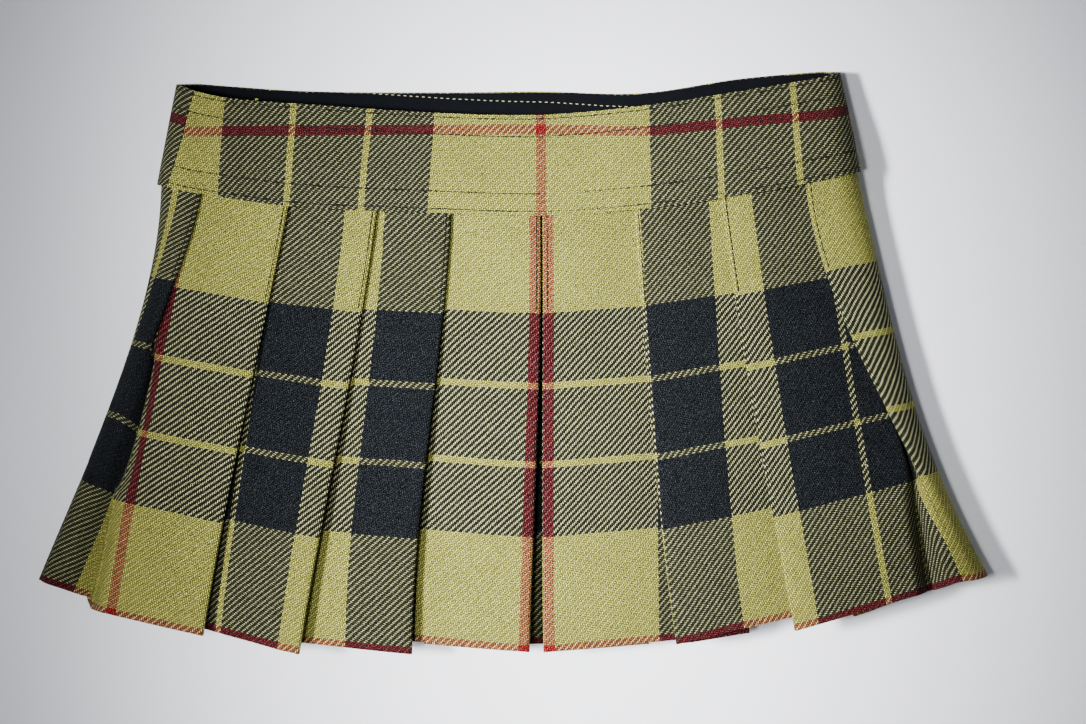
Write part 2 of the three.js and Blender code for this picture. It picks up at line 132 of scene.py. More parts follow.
SIDE_COLUMNS = ["sign", "seam_x", "seam_y", "hem_x", "hem_y", "bow1", "bow2",
                "reach_seam", "reach_hem", "folds"]
LEFT, RIGHT = table(SIDE_COLUMNS, [
    [-1, -127.9, 63.3, -173.0, -79.5, 6.8, 4.8, 5.2, 5.0, LEFT_FOLDS],
    [1, 125.6, 68.4, 173.0, -79.2, -4.5, -5.8, 5.2, 7.5, RIGHT_FOLDS],
])

# ---- Fineness of the cloth ----------------------------------------------------------------------------
ROW_STEP = 1.7  # from one row of the mesh to the next
HIDDEN = [0.2, 0.45, 0.7, 1.0]
SHOWN = [0.04, 0.09, 0.15, 0.22, 0.3, 0.4, 0.5, 0.6, 0.7, 0.79, 0.87, 0.94]
UNDER = [0.8, 0.6, 0.4, 0.25, 0.12]
SEAM_GAP = 0.04
SEAM_PLEAT = 3  # the side seam is under this pleat, counted from 0 at centre back
BEND_STEPS = 6  # flats round one pressed fold
ROUND_STEPS = 20  # steps along each of the layers that go round a side


def evenly(start, end, steps=ROUND_STEPS):
    return [lerp(start, end, (i + 1) / steps) for i in range(steps)]


def front_rise(share):
    return 1 - (1 - share) ** ROUNDNESS


def back_rise(share):
    return ease(share, -RAMP, RAMP) * 2 - 1 if share < RAMP else 1.0


def along(line, v):
    """Where a fold or a side lies at v below the seam."""
    f = v / LENGTH
    bow = BOW * f * (1 - f) * (line["bow1"] * (2 / 3 - f) + line["bow2"] * (f - 1 / 3))
    return lerp(line["seam_x"], line["hem_x"], f) + bow, lerp(line["seam_y"], line["hem_y"], f)


class Tube:
    """The flattened tube at v below the seam: the heights of its two inner layers and its rounded side."""

    def __init__(self, side, v):
        self.sign = side["sign"]
        self.v = v
        self.open = clamp((v - STITCHED) / (LENGTH - STITCHED)) ** LOOSENS_LATE
        self.dip = clamp((v - STITCHED) / DIPS_OVER) ** DIPS_EARLY
        lift = LIFT * (1 - ease(v, 1, LIFT_ENDS))
        self.back_z = CLOTH / 2 + STACK + lift
        self.front_z = self.back_z + CLOTH + lerp(HOLLOW["seam"], HOLLOW["hem"], self.open)
        self.radius = (self.front_z - self.back_z) / 2
        self.bend = self.radius + STACK / 2
        self.pitch = lerp(PITCH, HEM_PITCH, self.open)
        reach = lerp(side["reach_seam"], side["reach_hem"], self.open) + CLOTH / 2
        self.turn_x = along(side, v)[0] - self.sign * (self.radius + reach)

    def place(self, t, n):
        """The x and z of the point at t round the tube and n out from its hollow."""
        side = -t / self.bend
        if side <= 0:
            return self.turn_x - self.sign * t, self.front_z + n
        turned = min(side, math.pi)
        out = self.radius + min(n, STACK + n * (1 - turned / math.pi))
        x = self.turn_x + self.sign * out * math.sin(turned)
        z = (self.front_z + self.back_z) / 2 + out * math.cos(turned)
        return x - self.sign * max(0.0, side - math.pi) * self.bend, z

    def way_round(self, x, face, n):
        """The t of a point at x that stands n out from the hollow, on the front or on the back."""
        inward = -self.sign * (x - self.turn_x)
        if face == "back":
            return -math.pi * self.bend - inward
        if inward >= 0:
            return inward
        return -math.asin(clamp(-inward / (self.radius + n))) * self.bend


def folds_at(side, tube):
    """Each fold of a half at one row: where it stands and how far its pleat goes back under it."""
    v = tube.v
    folds = []
    for line in side["folds"]:
        x, y = along(line, v)
        flat = line["face"] == "back"
        height = lerp(STACK, line["height"], tube.open)
        folds.append(dict(line, x=x, y=y, flat=flat, height=height, layer=PITCH if flat else tube.pitch,
                          t=tube.way_round(x, line["face"], height),
                          slant=lerp(line["slant_seam"], line["slant_hem"], v / LENGTH)))
    for k, fold in enumerate(folds):
        before = folds[k - 1]["t"] if k else tube.way_round(CENTRE_BACK, "back", 0)
        spacing = fold["t"] - before
        fullest = lerp(FULLEST["seam"], FULLEST["seam" if fold["flat"] else "hem"], tube.dip)
        fold["depth"] = min((INTAKE - spacing) / 2, fullest * spacing)
        fold["floor"] = 0.0
        fold["agape"] = 0.0
        fold["step"] = 0.0
        if k == len(folds) - 1:
            fold["depth"] = CENTRE_DEPTH
            fold["floor"] = -fold["layer"]
        if fold["opens"] and v > STITCHED:
            start = clamp((v - STITCHED) / (fold["from"] - STITCHED))
            on = clamp((v - fold["from"]) / (LENGTH - fold["from"]))
            fold["depth"] = lerp(fold["depth"], 0, start) - fold["opens"] * on ** OPENS_EARLY
            fold["agape"] = 0.5 * start + 0.5 * clamp((v - fold["from"]) / TURNS_OVER)
            fold["floor"] = -VALLEY * on
            fold["step"] = OPEN_STEP * on if tube.sign < 0 else 0.0
    side_t = -math.pi / 2 * tube.bend
    first = next(k for k, fold in enumerate(folds) if not fold["flat"])

    def straight(fold, t):
        return fold["y"] + fold["slant"] * (t - fold["t"])

    behind = folds[first - 1]
    turned = (behind["y"] - straight(folds[first], side_t)) / (behind["t"] - side_t)
    for fold in folds:
        def weft(t, fold=fold):
            if fold["flat"] or t > side_t:
                return straight(fold, t)
            return straight(fold, side_t) + turned * (t - side_t)
        fold["weft"] = weft
    return folds


def bend(edge_t, n, layer, agape, outer):
    """A pressed fold seen end on: a half round that turns to a ridge, or a trough, as the pleat gapes."""
    sweep = math.radians(lerp(180, RIDGE if outer else TROUGH, agape))
    radius = math.pi * layer / 2 / sweep
    facing = math.radians(lerp(0, 90, agape) if outer else lerp(180, 270, agape))
    inset = (layer + CLOTH) / 2
    t = lerp(edge_t - inset if outer else edge_t + inset, edge_t, agape)
    middle = n - lerp(layer / 2, radius, agape) if outer else n + lerp(layer / 2, radius, agape)
    way = 1 if outer else -1
    turns = [facing + way * sweep * (0.5 - i / BEND_STEPS) for i in range(BEND_STEPS + 1)]
    return [(t + radius * math.cos(turn), middle + radius * math.sin(turn)) for turn in turns]


class HalfRow:
    """One row of a half of the skirt, from centre back to centre front.

    points are (x, y, z) and check is how far along the weft each one falls. edges and creases are the
    places in that list of each fold's edge and of the inner crease behind it. cut is where the side seam
    parts the cloth.
    """

    def __init__(self, side, v):
        tube = Tube(side, v)
        folds = folds_at(side, tube)
        self.v = v
        self.sign = side["sign"]
        self.edges, self.creases, self.cut = [], [], 0
        recess_y = folds[-1]["y"] + RECESS_RISE * v / LENGTH
        points = []  # t, n, y
        start = (tube.way_round(CENTRE_BACK, "back", 0), STACK)
        start_round = False
        points.append((*start, folds[0]["weft"](start[0])))
        for k, fold in enumerate(folds):
            before = folds[k - 1] if k else None
            wraps = bool(k) and not fold["flat"] and before["flat"]
            outer = bend(fold["t"], fold["height"], fold["layer"], fold["agape"], True)
            panel = []
            if k:
                apart = ease(before["agape"], *APART)
                emerges = lerp(before["t"], start[0] + BESIDE_OPEN, apart)
                emerges = max(emerges, start[0] + 2 * CLOTH)
                middle = before["height"] - 2 * before["layer"]
                if not (fold["flat"] or wraps):
                    middle = lerp(middle, UNDER_EDGE, tube.dip)
                middle = lerp(middle, OPEN_RISE * fold["height"], apart)
                rise = back_rise if fold["flat"] else front_rise
                hidden_rise = back_rise if before["flat"] else front_rise
                for share in evenly(0, 1) if start_round else HIDDEN:
                    panel.append((lerp(start[0], emerges, share), lerp(start[1], middle, hidden_rise(share))))
                for share in evenly(0, 1)[:-1] if wraps else SHOWN:
                    if wraps:
                        n = lerp(lerp(middle, STACK, back_rise(share)), fold["height"], share)
                    else:
                        n = lerp(middle, fold["height"], rise(share))
                    panel.append((lerp(emerges, outer[0][0], share), n))
            else:
                panel = [(lerp(start[0], outer[0][0], share), STACK) for share in SHOWN]
            points += [(t, n, fold["weft"](t)) for t, n in panel + outer]
            self.edges.append(len(points) - 1 - BEND_STEPS // 2)

            last = k == len(folds) - 1
            next_weft = (lambda t: recess_y) if last else folds[k + 1]["weft"]
            crease_t = fold["t"] - fold["depth"]
            inner = bend(crease_t, fold["floor"], fold["layer"], fold["agape"], False)
            out_t, out_n = outer[-1]
            in_t, in_n = inner[0]
            under = evenly(1, 0)[:-1] if wraps else UNDER
            if k == SEAM_PLEAT:
                away = SEAM_GAP / 2 / math.hypot(in_t - out_t, in_n - out_n)
                steps = ROUND_STEPS // 2 if wraps else 3
                under = [*evenly(1, 0.5 + away, steps), 0.5 - away, *evenly(0.5 - away, 0, steps)[:-1]]
                self.cut = len(points) + steps
            rise = back_rise if fold["flat"] else front_rise
            for share in under:
                y = lerp(next_weft(crease_t) + fold["step"], fold["weft"](fold["t"]), share)
                points.append((lerp(in_t, out_t, share), lerp(in_n, out_n, rise(share)), y))
            for i, (t, n) in enumerate(inner):
                step = fold["step"] * max(0, 1 - 2 * i / BEND_STEPS)
                points.append((t, n, next_weft(t) + step))
            self.creases.append(len(points) - 1 - BEND_STEPS // 2)
            start = inner[-1]
            start_round = wraps
        middle_t = tube.way_round(CENTRE_FRONT, "front", 0)
        points += [(lerp(start[0], middle_t, share), start[1], recess_y) for share in (0.25, 0.5, 0.75, 1)]
        self.points = []
        for t, n, y in points:
            x, z = tube.place(t, n)
            self.points.append((x, y, z))
        self.gaping = [fold["agape"] for fold in folds]
        down = v / LENGTH
        self.lay_check([lerp(fold["check_seam"], fold["check_hem"], down) for fold in folds],
                       [lerp(1, fold["draw"], down) for fold in folds])

    def lay_check(self, marks, draws):
        """Lays the check along the row: true from each fold's edge both ways, and eased in under it."""
        run = [0.0]
        for a, b in zip(self.points, self.points[1:]):
            run.append(run[-1] + math.dist(a, b))
        ends = [*self.edges, len(self.points) - 1]
        marks = [*marks, CENTRE_CHECK * -self.sign]
        draws = [*draws, 1]
        self.run = run
        self.check = [0.0] * len(run)
        start = 0
        for k, (edge, mark, draw) in enumerate(zip(ends, marks, draws)):
            for i in range(start, edge + 1):
                self.check[i] = mark - draw * (run[edge] - run[i])
            if k < len(self.creases):
                crease, following = self.creases[k], ends[k + 1]
                meant = marks[k + 1] - draws[k + 1] * (run[following] - run[crease])
                length = run[crease] - run[edge]
                miss = meant - (mark + length)
                for i in range(edge, crease + 1):
                    gone = run[i] - run[edge]
                    share = ease(gone / length, 0.5, 1) if self.gaping[k] < 0.5 else float(i == crease)
                    self.check[i] = mark + gone + miss * share
                start = crease + 1


ROW_COUNT = round((LENGTH + TUCK) / ROW_STEP)
ROWS = [lerp(-TUCK, LENGTH, i / ROW_COUNT) for i in range(ROW_COUNT + 1)]
HALVES = [[HalfRow(side, v) for v in ROWS] for side in (LEFT, RIGHT)]

# ---- The shell of a piece of cloth --------------------------------------------------------------------
RIPPLE = 0.35  # how far the front of the cloth rises and falls by itself
RIPPLE_SIZE = 38.0  # across; a ripple is 1.4 times as long down the cloth
PUCKER = 0.24  # the same, at a smaller size
PUCKER_SIZE = 11.0  # across; a pucker is 1.8 times as long down the cloth
LOOSE = (9, 15)  # cloth below the first height doesn't ripple, and above the second it does in full


def ripple(x, y, z):
    """The slight unevenness of cloth that lies loose; none where it lies on the surface."""
    loose = ease(z, *LOOSE)
    broad = noise.noise(Vector((x / RIPPLE_SIZE, y / (1.4 * RIPPLE_SIZE), 3.7)))
    fine = noise.noise(Vector((x / PUCKER_SIZE, y / (1.8 * PUCKER_SIZE), 8.1)))
    return loose * (RIPPLE * broad + PUCKER * fine)


def metres(x, y, z):
    return ((x - MIDDLE[0]) * MM, (y - MIDDLE[1]) * MM, z * MM)


def shell(name, rows, thickness, ring=False, puff=None):
    """A closed wall of cloth on a grid of points (x, y, z, u, v), in upright sections as the solids are.

    puff(i, j) moves both faces out at a point. The UV map named cloth holds u and v in mm.
    """
    across, down = len(rows[0]), len(rows)
    verts, faces, places = [], [], []
    for way in (1, -1):
        for i, row in enumerate(rows):
            for j, (x, y, z, u, v) in enumerate(row):
                before = row[j - 1] if j or ring else row[0]
                after = row[(j + 1) % across] if j < across - 1 or ring else row[-1]
                ax, az = x - before[0], z - before[2]
                bx, bz = after[0] - x, after[2] - z
                la, lb = math.hypot(ax, az) or 1, math.hypot(bx, bz) or 1
                rx, rz = ax / la + bx / lb, az / la + bz / lb
                lr = math.hypot(rx, rz) or 1
                out = way * thickness / 2 + (puff(i, j) if puff else 0)
                px, pz = x - rz / lr * out, z + rx / lr * out
                verts.append(metres(px, y, max(0.0, pz + ripple(x, y, z))))
                places.append((u, v))
    count = across * down

    def quad(*corners):
        faces.append([face * count + i * across + j % across for face, i, j in corners])

    steps = across if ring else across - 1
    end = down - 1
    for j in range(steps):
        for i in range(end):
            quad((0, i, j), (0, i + 1, j), (0, i + 1, j + 1), (0, i, j + 1))
            quad((1, i, j), (1, i, j + 1), (1, i + 1, j + 1), (1, i + 1, j))
        quad((0, 0, j), (0, 0, j + 1), (1, 0, j + 1), (1, 0, j))
        quad((0, end, j), (1, end, j), (1, end, j + 1), (0, end, j + 1))
    if not ring:
        for i in range(end):
            quad((0, i, 0), (1, i, 0), (1, i + 1, 0), (0, i + 1, 0))
            quad((0, i, steps), (0, i + 1, steps), (1, i + 1, steps), (1, i, steps))
    mesh = bpy.data.meshes.new(name)
    mesh.from_pydata(verts, [], faces)
    uv = mesh.uv_layers.new(name="cloth")
    if ring:  # the last column of a ring carries on from the first
        total = rows[0][-1][3] + (rows[0][-1][3] - rows[0][-2][3]) - rows[0][0][3]
    for face in mesh.polygons:
        wrapped = ring and any(i % across == 0 for i in face.vertices) and any(
            i % across == across - 1 for i in face.vertices)
        for corner in face.loop_indices:
            i = mesh.loops[corner].vertex_index
            u, v = places[i]
            uv.data[corner].uv = (u + total if wrapped and i % across == 0 else u, v)
    mesh.shade_smooth()
    rim = mesh.attributes.new("sharp_edge", "BOOLEAN", "EDGE")
    for edge in mesh.edges:
        a, b = edge.vertices
        same_row = (a % count) // across == (b % count) // across
        on_end_row = (a % count) // across in (0, end)
        on_end_column = not ring and a % across == b % across and a % across in (0, across - 1)
        rim.data[edge.index].value = (a < count) == (b < count) and (
            (same_row and on_end_row) or on_end_column)
    made = bpy.data.objects.new(name, mesh)
    bpy.context.collection.objects.link(made)
    return made


HEM_CHECK = 156.4  # below the seam, the red of the weft
# How much further down the check the cloth has come than its length, by the distance below the seam.
DRIFT = [(-3, -0.8), (12, -0.7), (40, 1.0), (60, 0.9), (88, 0.2), (112, 0.5), (157, 0)]


def through(points, at):
    """A smooth curve through points (x, y)."""
    k = next((i for i, point in enumerate(points) if point[0] >= at), 1) - 1
    k = int(clamp(k, 0, len(points) - 2))
    (ax, ay), (bx, by) = points[k], points[k + 1]

    def gradient(i):
        (px, py), (qx, qy) = points[max(i - 1, 0)], points[min(i + 1, len(points) - 1)]
        return (qy - py) / (qx - px)

    span = bx - ax
    f = (at - ax) / span
    slope = (by - ay) / span
    bulge = f * (1 - f) * span
    return lerp(ay, by, f) + bulge * ((1 - f) * (gradient(k) - slope) - f * (gradient(k + 1) - slope))


def skirt_grid():
    """The rows of the front and of the back, each from left to right."""
    front, back = [], []
    for left, right in zip(*HALVES):
        v = left.v - HEM_CHECK + through(DRIFT, left.v)
        on_left = [(*p, u, v) for p, u in zip(left.points, left.check)]
        on_right = [(*p, -u, v) for p, u in zip(right.points, right.check)]
        front.append(on_left[left.cut:] + on_right[right.cut:-1][::-1])
        back.append(on_right[:right.cut][::-1] + on_left[1:left.cut])
    return front, back


front_rows, back_rows = skirt_grid()

# ---- Waistband and facing -----------------------------------------------------------------------------
BAND_WIDTH = 36.7
BAND_SIDES = {"seam": (-129.4, 127.2), "top": (-122.6, 119.8)}
BAND_TOP = 14.0  # height of the middle of the front band at its top edge; the back lies on the surface
FACING = 1.0
FACING_IN = BAND / 2 + GAP + FACING / 2
FACING_FOOT = 5.0
FACING_BELOW = 0.45  # at the top it stops this far short of the edge of the band
BAND_CURVE = table(["share", "front_seam", "front_top", "back_top"], [
    [0, 63.3, 99.8, 102.0],
    [0.08, 60.0, 95.6, 100.4],
    [0.2, 55.8, 93.3, 98.6],
    [0.4, 53.6, 90.1, 98.2],
    [0.55, 52.6, 89.5, 98.5],
    [0.7, 55.4, 92.7, 97.9],
    [0.85, 61.0, 98.2, 103.2],
    [1, 68.3, 104.3, 106.4],
])
# Where the check falls on the front of the band: along it, at its lower and upper edge, and the height of
# its red line there.
BAND_CHECK = table(["check", "seam_x", "top_x", "red_y"], [
    [-160.8, -146.4, -139.3, 83.2],
    [-120.6, -106.6, -104.6, 83.4],
    [-94.2, -81.8, -79.4, 83.6],
    [-66.6, -54.9, -51.8, 83.9],
    [-40.2, -30.8, -28.1, 84.1],
    [0, 10.7, 10.5, 84.1],
    [40.2, 50.6, 49.9, 83.6],
    [66.6, 76.1, 74.8, 86.0],
    [94.2, 104.7, 102.0, 88.5],
    [120.6, 130.0, 127.0, 90.3],
])
SEAM_ANGLE = {"seam": 39.0, "top": 4.0}
RIGHT_SEAM = 1.83  # where the other side seam is, in the q of band_point
SEAM_SPLIT = 0.003  # half the gap at a side seam, in the same q


def column(rows, name):
    return [(row["share"], row[name]) for row in rows]


def band_point(q, w, inset):
    """A point of the band. q is 0 to 1 across the front from left to right, 1 to 2 round the right side,
    2 to 3 across the back and 3 to 4 round the left side; w is above its lower edge."""
    up = w / BAND_WIDTH
    seam = Tube(LEFT, 1)
    seam_top = seam.front_z + STACK + CLOTH / 2 + GAP + BAND / 2
    top = lerp(seam_top, BAND_TOP, ease(w, TUCK, BAND_WIDTH * 1.1))
    radius = (top - BAND / 2) / 2
    middle = (top + BAND / 2) / 2
    left, right = (lerp(BAND_SIDES["seam"][i], BAND_SIDES["top"][i], up) for i in (0, 1))
    inner = left + BAND / 2 + radius, right - BAND / 2 - radius

    def share_at(x):
        return clamp((x - left) / (right - left))

    def y_at(x, back):
        top_y = through(column(BAND_CURVE, "back_top" if back else "front_top"), share_at(x))
        seam_y = top_y - BAND_WIDTH if back else through(column(BAND_CURVE, "front_seam"), share_at(x))
        return lerp(seam_y, top_y, up)

    way = q % 4
    out = radius - inset
    if way <= 1 or 2 <= way <= 3:
        back = way > 1
        x = lerp(*inner, 3 - way if back else way)
        return x, y_at(x, back), middle + (-out if back else out)
    on_right = way < 2
    turned = way - 1 if on_right else 4 - way
    across = out * math.sin(turned * math.pi)
    x = inner[1] + across if on_right else inner[0] - across
    y = lerp(y_at(x, False), y_at(x, True), turned)
    return x, y, middle + out * math.cos(turned * math.pi)


FLAT_STEPS, SIDE_STEPS = 90, 16
STITCH_ROWS = [1.6, 8.0, BAND_WIDTH - 7.8, BAND_WIDTH - 1.45]  # topstitching, above the band's lower edge
STITCH_DENT = 0.22  # how deep the cloth sinks at a row of it
DENT_WIDTH = 0.8
BAND_ROW_COUNT = 44
BAND_ROWS = [lerp(BAND_WIDTH, 0, i / BAND_ROW_COUNT) for i in range(BAND_ROW_COUNT + 1)]


def band_stations(w):
    away = SEAM_SPLIT
    seam = lerp(SEAM_ANGLE["seam"], SEAM_ANGLE["top"], w / BAND_WIDTH) / 180
    front = [away - seam, *evenly(away - seam, 0, 5), *evenly(0, 1, FLAT_STEPS),
             *evenly(1, RIGHT_SEAM - away, SIDE_STEPS)]
    back = [RIGHT_SEAM + away, *evenly(RIGHT_SEAM + away, 2, 3), *evenly(2, 3, FLAT_STEPS),
            *evenly(3, 4 - seam - away, SIDE_STEPS)]
    return front, back


def stitch_dent(w):
    """How the cloth sinks along each row of topstitching and puffs between."""
    return sum(-STITCH_DENT * math.exp(-((w - row) / DENT_WIDTH) ** 2) for row in STITCH_ROWS)


BACK_CHECK = -46.0  # where the check starts on the back, at the side seam that shows
BACK_RED = 11.6  # on the back, the red of the weft is this far below the top edge


def band_grid(face):
    rows = []
    for w in BAND_ROWS:
        up = w / BAND_WIDTH
        marks = [(lerp(mark["seam_x"], mark["top_x"], up), mark["check"]) for mark in BAND_CHECK]
        reds = [(lerp(mark["seam_x"], mark["top_x"], up), mark["red_y"]) for mark in BAND_CHECK]
        points = [band_point(q, w, 0) for q in band_stations(w)[face]]
        run = [0.0]
        for a, b in zip(points, points[1:]):
            run.append(run[-1] + math.hypot(b[0] - a[0], b[2] - a[2]))
        row = []
        turn = 0
        for k, ((x, y, z), q) in enumerate(zip(points, band_stations(w)[face])):
            if face:
                u, v = BACK_CHECK - (run[-1] - run[k]), BAND_WIDTH - w - BACK_RED
            elif q <= 1:
                u, v = through(marks, x), through(reds, x) - y
                turn = k
            else:  # round the side it runs on by its length
                u, v = row[turn][3] + run[k] - run[turn], row[turn][4]
            row.append((x, y, z, u, v))
        rows.append(row)
    return rows


def facing_grid():
    rows = []
    foot = STACK + CLOTH / 2 + GAP + BAND / 2
    for w in [BAND_WIDTH - FACING_BELOW, *BAND_ROWS[2:-9:2], FACING_FOOT]:
        row = []
        length = 0.0
        for side in range(4):
            for q in evenly(side, side + 1, SIDE_STEPS if side % 2 else FLAT_STEPS):
                x, y, z = band_point(q, w, foot if w == FACING_FOOT else FACING_IN)
                if row:
                    length += math.dist((x, z), (row[-1][0], row[-1][2]))
                row.append((x, y, z, length, BAND_WIDTH - w))
        rows.append(row)
    return rows


# ---- Finishes -----------------------------------------------------------------------------------------
def srgb(r, g, b):
    """An 8 bit screen colour as the linear colour a shader takes."""
    def linear(c):
        c /= 255
        return c / 12.92 if c <= 0.04045 else ((c + 0.055) / 1.055) ** 2.4
    return linear(r), linear(g), linear(b), 1.0


THREAD = 0.6  # one thread of the weave to the next
YELLOW = srgb(159, 158, 87)
NAVY = srgb(24, 29, 34)
RED = srgb(140, 27, 34)
REPEAT = 268 * THREAD
# Half a repeat of the check, from the middle of the red: the number of threads of each colour.
CHECK = [(3, RED), (64, YELLOW), (42, NAVY), (4, YELLOW), (21, NAVY)]


class Nodes:
    """Short words for laying out a shader tree."""

    def __init__(self, tree):
        self.tree = tree

    def add(self, kind, inputs=(), **settings):
        node = self.tree.nodes.new(kind)
        for key, value in settings.items():
            setattr(node, key, value)
        for key, value in dict(inputs).items():
            if isinstance(value, bpy.types.NodeSocket):
                self.tree.links.new(value, node.inputs[key])
            else:
                node.inputs[key].default_value = value
        return node

    def math(self, operation, a, b=0.0, c=0.0):
        return self.add("ShaderNodeMath", {0: a, 1: b, 2: c}, operation=operation).outputs[0]

    def mix(self, factor, a, b, blend="MIX"):
        node = self.add("ShaderNodeMix", data_type="RGBA", blend_type=blend, clamp_factor=True)
        for socket, value in ((node.inputs[0], factor), (node.inputs[6], a), (node.inputs[7], b)):
            if isinstance(value, bpy.types.NodeSocket):
                self.tree.links.new(value, socket)
            else:
                socket.default_value = value
        return node.outputs[2]


def new_group(name, inputs, outputs):
    tree = bpy.data.node_groups.new(name, "ShaderNodeTree")
    for label, kind, value in inputs:
        socket = tree.interface.new_socket(label, in_out="INPUT", socket_type=kind)
        if value is not None:
            socket.default_value = value
    for label, kind in outputs:
        tree.interface.new_socket(label, in_out="OUTPUT", socket_type=kind)
    nodes = Nodes(tree)
    return nodes, tree.nodes.new("NodeGroupInput"), tree.nodes.new("NodeGroupOutput")


def twill_group():
    """A 2/2 twill on cloth coordinates in mm: which thread is on top, and its relief."""
    n, given, out = new_group(
        "Twill",
        [("Cloth", "NodeSocketVector", None), ("Thread", "NodeSocketFloat", THREAD)],
        [(label, "NodeSocketFloat") for label in (
            "Warp on top", "Warp place", "Weft place", "Relief", "Yarn")])
    split = n.add("ShaderNodeSeparateXYZ", {0: given.outputs["Cloth"]})
    thread = given.outputs["Thread"]
    count = [n.math("DIVIDE", split.outputs[i], thread) for i in (0, 1)]
    whole = [n.math("FLOOR", c) for c in count]
    part = [n.math("SUBTRACT", c, w) for c, w in zip(count, whole)]
    step = n.math("FLOORED_MODULO", n.math("ADD", *whole), 4.0)
    warp = n.math("LESS_THAN", step, 1.5)
    along_float = [n.math("DIVIDE", n.math("ADD", s, p), 2.0) for s, p in (
        (step, part[1]), (n.math("SUBTRACT", step, 2.0), part[0]))]
    # A float is round across the thread and bowed along it.
    def bowed(across, along_it):
        a = n.math("POWER", n.math("SINE", n.math("MULTIPLY", across, math.pi)), 0.7)
        b = n.math("POWER", n.math("SINE", n.math("MULTIPLY", along_it, math.pi)), 0.6)
        return n.math("MULTIPLY", a, n.math("MULTIPLY_ADD", b, 0.65, 0.35))
    warp_relief = bowed(part[0], along_float[0])
    weft_relief = bowed(part[1], along_float[1])
    relief = n.math("ADD", n.math("MULTIPLY", warp, warp_relief),
                    n.math("MULTIPLY", n.math("SUBTRACT", 1.0, warp), weft_relief))
    places = [n.math("MULTIPLY", n.math("ADD", w, 0.5), thread) for w in whole]
    # Each float has its own shade.
    line = n.add("ShaderNodeCombineXYZ", {0: whole[0], 1: whole[1], 2: warp})
    shade = n.add("ShaderNodeTexWhiteNoise", {"Vector": line.outputs[0]}, noise_dimensions="3D")
    for socket, value in (("Warp on top", warp), ("Warp place", places[0]), ("Weft place", places[1]),
                          ("Relief", relief), ("Yarn", shade.outputs["Value"])):
        n.tree.links.new(value, out.inputs[socket])
    return n.tree


def check_group():
    """The colour of a thread by its place across the check."""
    n, given, out = new_group("Check", [("Place", "NodeSocketFloat", 0.0)],
                              [("Colour", "NodeSocketColor"), ("Sheer", "NodeSocketFloat")])
    half = n.math("PINGPONG", given.outputs["Place"], REPEAT / 2)
    ramp = n.add("ShaderNodeValToRGB", {0: n.math("DIVIDE", half, REPEAT / 2)}).color_ramp
    ramp.interpolation = "CONSTANT"
    at = 0.0
    for k, (threads, colour) in enumerate(CHECK):
        stop = ramp.elements[k] if k < 2 else ramp.elements.new(at)
        stop.position, stop.color = at, colour
        at += threads * THREAD / (REPEAT / 2)
    node = next(x for x in n.tree.nodes if x.bl_idname == "ShaderNodeValToRGB")
    n.tree.links.new(node.outputs[0], out.inputs["Colour"])
    n.tree.links.new(n.math("LESS_THAN", half, CHECK[0][0] * THREAD), out.inputs["Sheer"])
    return n.tree


TWILL = twill_group()
CHECK_COLOURS = check_group()


def new_material(name):
    material = bpy.data.materials.new(name)
    material.use_nodes = True
    nodes = Nodes(material.node_tree)
    return material, nodes, material.node_tree.nodes["Principled BSDF"]


FINISH_SOCKETS = {"roughness": "Roughness", "specular": "Specular IOR Level",
                  "sheen": "Sheen Weight", "sheen_roughness": "Sheen Roughness"}


def set_finish(shader, **finish):
    for name, value in finish.items():
        shader.inputs[FINISH_SOCKETS[name]].default_value = value


def group(nodes, tree, inputs=()):
    node = nodes.add("ShaderNodeGroup", node_tree=tree)
    for key, value in dict(inputs).items():
        nodes.tree.links.new(value, node.inputs[key])
    return node


def nap_and_painted_shade_group():
    """Colour of napped wool: the hue of the two threads blends, and between threads a painted shade
    is coloured by both of them."""
    n, given, out = new_group(
        "Nap", [("Top", "NodeSocketColor", None), ("Under", "NodeSocketColor", None),
                ("Relief", "NodeSocketFloat", 1.0), ("Blend", "NodeSocketFloat", 0.65),
                ("Sheer", "NodeSocketFloat", 0.0)],
        [("Colour", "NodeSocketColor")])
    top, under = given.outputs["Top"], given.outputs["Under"]
    both = n.mix(0.5, top, under)
    light = [n.add("ShaderNodeRGBToBW", {0: colour}).outputs[0] for colour in (top, both)]
    step = n.math("SUBTRACT", *light)
    step = n.add("ShaderNodeCombineXYZ", {0: step, 1: step, 2: step}).outputs[0]
    blended = n.add("ShaderNodeVectorMath", {0: both, 1: step}, operation="ADD").outputs[0]
    least = (0.003, 0.003, 0.003)  # the blend never falls to black
    blended = n.add("ShaderNodeVectorMath", {0: blended, 1: least}, operation="MAXIMUM").outputs[0]
    face = n.mix(given.outputs["Blend"], top, blended)
    face = n.mix(n.math("MULTIPLY", given.outputs["Sheer"], 0.2), face, under)
    # painted shade between the threads: the two colours multiplied, which the relief mixes up to the face
    # colour
    between = n.mix(1.0, top, under, "MULTIPLY")
    n.tree.links.new(n.mix(given.outputs["Relief"], between, face), out.inputs["Colour"])
    return n.tree


NAP_AND_PAINTED_SHADE = nap_and_painted_shade_group()


WANDER = ((230.0, 0.3), (60.0, 0.6))  # each noise's scale, and how far it moves the threads in mm
PAINTED_SHADE_REACH = 2.6  # over 1, the painted shade between the threads comes further up them
PAINTED_CROWN_LIGHT = 1.5  # painted highlight on the crown of a thread, with painted shade at its edges
# painted light on the weft floats, which lie lower than the warp
PAINTED_WEFT_LIGHT = 0.78
PAINTED_WARP_EXTRA_LIGHT = 0.4  # how much more painted light the warp has than the weft, as it stands proud of it
YARN_SPREAD = 0.26  # how much the threads differ in shade from each other
PATCH_SPREAD = 0.3  # the same, for broad patches of the cloth
FIBRE_ENDS = 0.09  # brightness of the pale ends of fibre


